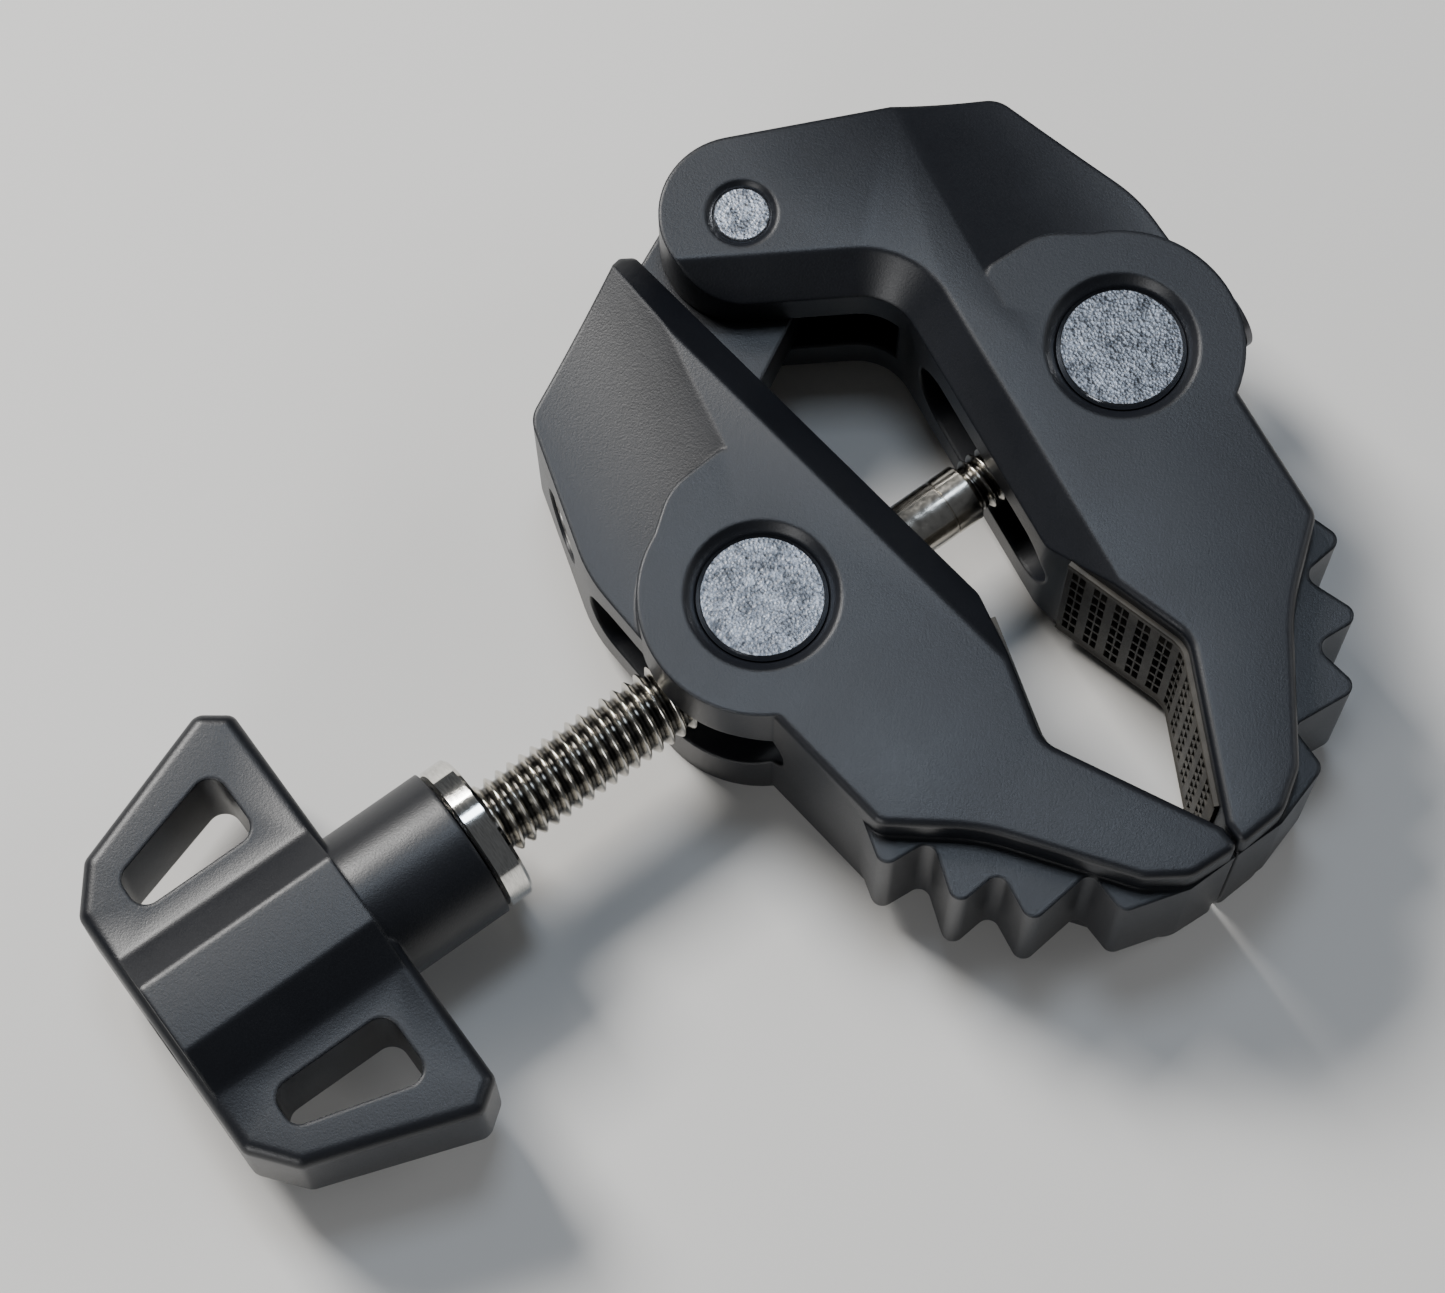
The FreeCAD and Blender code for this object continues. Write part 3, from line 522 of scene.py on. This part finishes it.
def mouth_line(along):
    """Points and into-the-jaw normals of the mouth's bent line at distances along it.

    The line is straight, then an arc of the valley's radius, then straight. The arc is the
    closed form of integrating (cos, sin) of a heading that turns at a constant rate.
    """
    throat, valley, tip = MOUTH_THROAT, MOUTH_VALLEY, MOUTH_TIP
    start_y, end_y, radius = PAD_START_Y, PAD_END_Y, VALLEY_RADIUS
    first = (valley - throat) / np.linalg.norm(valley - throat)
    second = (tip - valley) / np.linalg.norm(tip - valley)
    heading = math.atan2(first[1], first[0])
    bend = math.atan2(second[1], second[0]) - heading
    start = throat + first * ((start_y - throat[1]) / first[1])
    reach = radius * math.tan(abs(bend) / 2)
    before = np.linalg.norm(valley - start) - reach
    arc = radius * abs(bend)
    after = (end_y - valley[1]) / second[1] - reach
    sign = math.copysign(1.0, bend)
    turned = sign * np.clip(along - before, 0, arc) / radius
    line = start + np.clip(along, 0, before)[:, None] * first
    sweep = np.stack([np.sin(heading + turned) - math.sin(heading),
                      math.cos(heading) - np.cos(heading + turned)], -1)
    line = line + sign * radius * sweep
    line = line + np.clip(along - before - arc, 0, None)[:, None] * second
    facing = heading + turned
    normal = np.stack([-np.sin(facing), np.cos(facing)], -1)
    return line, normal, before + arc + after


def stepped(edges, low, high):
    """Sorted grid lines with a close pair of lines at each edge, and 1 between edge pairs."""
    slope = 0.04 * MM
    lines, inside = [low], [0.0]
    for start, end in edges:
        lines += [start - slope, start + slope, end - slope, end + slope]
        inside += [0.0, 1.0, 1.0, 0.0]
    lines.append(high)
    inside.append(0.0)
    return np.array(lines), np.array(inside)


def pad_shape(side):
    """A pitted rubber pad as a closed band.

    A point is the mouth's line at one distance, moved along its normal by -proud at the
    front and +deep at the back. The front drops by pit_depth where the distance lies in a
    column of pits and the height lies in a row; its long edges rise in a thin lip.
    """
    look = bpy.context.scene.clamp_pads
    _, _, length = mouth_line(np.zeros(1))
    clearance = 0.02 * MM
    bottom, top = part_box(side + "_jaw_pad")
    low, high = bottom.z + clearance, top.z - clearance
    margin, lip_width, lip = 1.3 * MM, 0.7 * MM, 0.18 * MM
    band = (length - margin) / look.bands
    starts = margin / 2 + np.arange(look.bands) * band
    pit_width, pit_gap = band * 0.23, band * 0.1
    columns = [(s + k * (pit_width + pit_gap), s + k * (pit_width + pit_gap) + pit_width)
               for s in starts for k in (0, 1)]
    row = (high - low - 2 * margin) / look.rows
    rows = [(low + margin + k * row + row * 0.12, low + margin + (k + 1) * row - row * 0.12)
            for k in range(look.rows)]
    along, in_column = stepped(columns, 0.0, length)
    height, in_row = stepped(rows, low, high)
    lip_lines = [low + lip_width / 2, low + lip_width, high - lip_width, high - lip_width / 2]
    height = np.insert(height, [1, 1, len(height) - 1, len(height) - 1], lip_lines)
    in_row = np.insert(in_row, [1, 1, len(in_row) - 1, len(in_row) - 1], 0.0)
    lip_at = np.zeros(len(height))
    lip_at[[0, 1, -2, -1]] = (0.6, 1.0, 1.0, 0.6)
    line, normal, _ = mouth_line(along)
    pits = look.pit_depth * in_column[:, None] * in_row[None, :]
    front = -look.proud + pits - lip * lip_at[None, :] + lip
    count = len(height)
    offset = np.concatenate([front, np.full((len(along), count), look.deep)], axis=1)
    level = np.concatenate([height, height[::-1]])
    flat = line[:, None, :] + normal[:, None, :] * offset[:, :, None]
    mirror = -1.0 if side == "near" else 1.0
    rings = np.stack([mirror * flat[..., 0], flat[..., 1],
                      np.broadcast_to(level[None, :], offset.shape)], -1)
    points = rings.reshape(-1, 3)
    columns_total = 2 * count
    faces = grid_faces(len(along), columns_total)
    last = (len(along) - 1) * columns_total
    for k in range(count - 1):
        back, following = columns_total - 1 - k, columns_total - 2 - k
        faces.append([k, k + 1, following, back])
        faces.append([last + k + 1, last + k, last + back, last + following])
    return points, faces


def insert_shape(node, outward, minor, outer, length, pitch):
    """A threaded sleeve: an outer tube joined at its ends to an inner helical thread.

    Rings are drawn about a local axis w with two cross directions; the inner radius is
    minor + depth * (1 - thread_height(w / pitch - angle / full turn)).
    """
    low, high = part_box(node)
    centre = np.array((low + high) / 2)
    axis = np.array(outward) / np.linalg.norm(outward)
    up = np.array([0.0, 0.0, 1.0])
    across = np.cross(up, axis)
    segments = 32
    steps = int(length / pitch * segments)
    inner = np.linspace(length / 2, -length / 2, steps + 1)
    angle = np.arange(segments) * 2 * math.pi / segments
    depth = 0.5 * pitch
    phase = inner[:, None] / pitch - angle[None, :] / (2 * math.pi)
    ease = np.clip((length / 2 - np.abs(inner)) / (0.6 * pitch), 0, 1)[:, None]
    radius_in = minor + depth * (1 - thread_height(phase) * ease)
    rim = 0.25 * MM
    outer_rows = np.array([[-length / 2, outer - rim], [-length / 2 + rim, outer],
                           [length / 2 - rim, outer], [length / 2, outer - rim]])
    radius = np.concatenate([np.repeat(outer_rows[:, 1:], segments, axis=1), radius_in])
    w = np.concatenate([outer_rows[:, 0], inner])
    points = (centre + w[:, None, None] * axis
              + (radius * np.cos(angle))[..., None] * across + (radius * np.sin(angle))[..., None] * up)
    return points.reshape(-1, 3), grid_faces(len(w), segments, close_rows=True)


# ---------------------------------------------------------------- operators

class CLAMP_OT_castings(bpy.types.Operator):
    """Smooth, coated copies of both jaws and the handle"""
    bl_idname = "clamp.castings"
    bl_label = "Coated castings"

    def execute(self, context):
        crease = context.scene.clamp_jaws.shade_angle
        for side in ("near", "far"):
            piece = welded_copy(side + "_jaw", side + "_jaw_casting", crease)
            finish_piece(piece, side + "_jaw", "jaw_coating",
                         coating_material("jaw_coating"), side + "_jaw")
        handle = welded_copy("tee_handle", "tee_handle_casting", crease)
        finish_piece(handle, "screw", "handle_coating",
                     coating_material("handle_coating", 0.95), "tee_handle")
        return {"FINISHED"}


class CLAMP_OT_pads(bpy.types.Operator):
    """Pitted rubber pads in both V mouths"""
    bl_idname = "clamp.pads"
    bl_label = "Rubber pads"

    def execute(self, context):
        material = rubber_material()
        for side in ("near", "far"):
            piece = new_piece(side + "_rubber_pad", *pad_shape(side), math.radians(35))
            finish_piece(piece, side + "_jaw", "pad_rubber", material, side + "_jaw_pad")
        return {"FINISHED"}


class CLAMP_OT_screw(bpy.types.Operator):
    """The screw with its left-hand and right-hand threads"""
    bl_idname = "clamp.screw"
    bl_label = "Threaded screw"

    def execute(self, context):
        piece = new_piece("threaded_screw", *screw_shape(), math.radians(40))
        nickel = context.scene.clamp_steel.nickel[:]
        finish_piece(piece, "screw", "screw_steel", threaded_material("screw_steel", nickel),
                     "clamp_screw")
        return {"FINISHED"}


class CLAMP_OT_inserts(bpy.types.Operator):
    """Threaded steel inserts in the jaws' outer walls"""
    bl_idname = "clamp.inserts"
    bl_label = "Threaded inserts"

    def execute(self, context):
        material = plated_material("insert_steel", (0.55, 0.54, 0.52), 0.3)
        side_wall, top_wall = (0.958, 0.287), (0.419, 0.908)
        quarter = (2.6 * MM, 4.0 * MM, 7.7 * MM, 1.27 * MM)
        three_eighths = (3.99 * MM, 5.39 * MM, 7.7 * MM, 1.588 * MM)
        for name, body, node, mirror, wall, sizes in (
                ("near_side_insert", "near_jaw", "near_quarter_inch_insert", -1, side_wall, quarter),
                ("far_side_insert", "far_jaw", "far_quarter_inch_insert", 1, side_wall, quarter),
                ("far_top_insert", "far_jaw", "three_eighths_insert", 1, top_wall, three_eighths)):
            outward = (mirror * wall[0], wall[1], 0.0)
            piece = new_piece(name, *insert_shape(node, outward, *sizes), math.radians(40))
            finish_piece(piece, body, "insert_steel", material, node)
        return {"FINISHED"}


class CLAMP_OT_plain_steel(bpy.types.Operator):
    """Finishes of the nuts, pin, washers, ring, clip and end screw"""
    bl_idname = "clamp.plain_steel"
    bl_label = "Plain steel pieces"

    def execute(self, context):
        look = context.scene.clamp_steel
        crease = context.scene.clamp_jaws.shade_angle
        for side in ("near", "far"):
            low, high = NUT_BOX[side]
            material = blasted_material(side + "_nut_steel", (low + high) / 2, look.polished_rim, 1.0)
            piece = welded_copy(side + "_barrel_nut", side + "_cross_nut", crease)
            finish_piece(piece, side + "_nut", "nut_steel", material, side + "_barrel_nut")
        pin = welded_copy("hinge_pin", "pressed_hinge_pin", crease)
        pin_material = blasted_material("pin_steel", (PIN_BOX[0] + PIN_BOX[1]) / 2, 2.85 * MM, 1.25)
        finish_piece(pin, "far_jaw", "pin_steel", pin_material, "hinge_pin")
        ring = welded_copy("thrust_ring", "chromed_ring", crease)
        finish_piece(ring, "ring", "ring_chrome",
                     plated_material("ring_chrome", (0.86, 0.84, 0.79), 0.08, 0.06), "thrust_ring")
        plain = {
            "upper_hinge_washer": plated_material("washer_steel", (0.5, 0.5, 0.5), 0.3),
            "lower_hinge_washer": plated_material("washer_steel", (0.5, 0.5, 0.5), 0.3),
            "screw_end_clip": plated_material("clip_steel", (0.16, 0.16, 0.17), 0.35),
            "handle_end_screw": plated_material("end_screw_steel", (0.12, 0.12, 0.125), 0.33),
        }
        for node, material in plain.items():
            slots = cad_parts[node].data.materials
            slots.clear()
            slots.append(material)
        return {"FINISHED"}


class CLAMP_OT_stage(bpy.types.Operator):
    """Pale floor, soft lights and the camera"""
    bl_idname = "clamp.stage"
    bl_label = "Stage"

    def execute(self, context):
        look = context.scene.clamp_stage
        mesh = bpy.data.meshes.new("floor")
        reach, drop = 3.0, -0.02 * MM
        corners = [(x * reach, y * reach, drop) for x, y in ((-1, -1), (1, -1), (1, 1), (-1, 1))]
        mesh.from_pydata(corners, [], [(0, 1, 2, 3)])
        floor = bpy.data.objects.new("floor", mesh)
        context.scene.collection.objects.link(floor)
        nodes = Nodes("floor_paper")
        paper = nodes.noise(120 * MM, detail=2.0)
        darker = [channel * 0.96 for channel in look.floor_colour]
        nodes.link(nodes.mix_colour(paper, darker, look.floor_colour[:]), nodes.shader.inputs["Base Color"])
        nodes.shader_values(Roughness=0.85)
        mesh.materials.append(nodes.material)

        centre = Vector((-20 * MM, 30 * MM, 12 * MM))
        for name, place, width, power, warmth in (
                ("key_softbox", (-0.12, 0.66, 0.66), 0.3, 12.0, (1.0, 0.98, 0.95)),
                ("fill_softbox", (0.75, -0.35, 0.55), 0.5, 1.6, (0.93, 0.96, 1.0)),
                ("left_softbox", (-0.75, -0.25, 0.3), 0.25, 1.8, (1.0, 1.0, 1.0)),
                ("sheen_softbox", (0.1, 0.2, 0.9), 0.2, 1.7, (0.72, 0.84, 1.0))):
            light = bpy.data.lights.new(name, "AREA")
            light.size, light.energy, light.color = width, power, warmth
            lamp = bpy.data.objects.new(name, light)
            lamp.location = place
            lamp.rotation_euler = (centre - Vector(place)).to_track_quat("-Z", "Y").to_euler()
            context.scene.collection.objects.link(lamp)
        world = bpy.data.worlds.new("soft_surround")
        world.use_nodes = True
        world.node_tree.nodes["Background"].inputs["Color"].default_value = (0.8, 0.84, 0.9, 1)
        world.node_tree.nodes["Background"].inputs["Strength"].default_value = 0.1
        context.scene.world = world

        lens = bpy.data.cameras.new("camera")
        lens.lens, lens.sensor_width, lens.clip_start = look.focal_length, 36.0, 0.01
        camera = bpy.data.objects.new("camera", lens)
        camera.location, camera.rotation_euler = look.camera_place, look.camera_turn
        context.scene.collection.objects.link(camera)
        context.scene.camera = camera
        return {"FINISHED"}


class CLAMP_PT_panel(bpy.types.Panel):
    """Lists the steps in the order in which they run"""
    bl_idname = "CLAMP_PT_panel"
    bl_label = "Super clamp"
    bl_space_type = "VIEW_3D"
    bl_region_type = "UI"
    bl_category = "Clamp"

    def draw(self, context):
        for operator in OPERATORS:
            self.layout.operator(operator.bl_idname)
        for name in SETTINGS:
            group = getattr(context.scene, name)
            for field in group.__annotations__:
                self.layout.prop(group, field)


SETTINGS = {"clamp_jaws": JawSettings, "clamp_steel": SteelSettings, "clamp_screw": ScrewSettings,
            "clamp_pads": PadSettings, "clamp_stage": StageSettings}
OPERATORS = (CLAMP_OT_castings, CLAMP_OT_pads, CLAMP_OT_screw, CLAMP_OT_inserts,
             CLAMP_OT_plain_steel, CLAMP_OT_stage)


def register():
    for item in (*SETTINGS.values(), *OPERATORS, CLAMP_PT_panel):
        bpy.utils.register_class(item)
    for name, group in SETTINGS.items():
        setattr(bpy.types.Scene, name, PointerProperty(type=group))


def unregister():
    for name in SETTINGS:
        delattr(bpy.types.Scene, name)
    for item in reversed((*SETTINGS.values(), *OPERATORS, CLAMP_PT_panel)):
        bpy.utils.unregister_class(item)


def main():
    register()
    bpy.ops.clamp.castings()
    bpy.ops.clamp.pads()
    bpy.ops.clamp.screw()
    bpy.ops.clamp.inserts()
    bpy.ops.clamp.plain_steel()
    bpy.ops.clamp.stage()


if __name__ == "__main__":
    main()
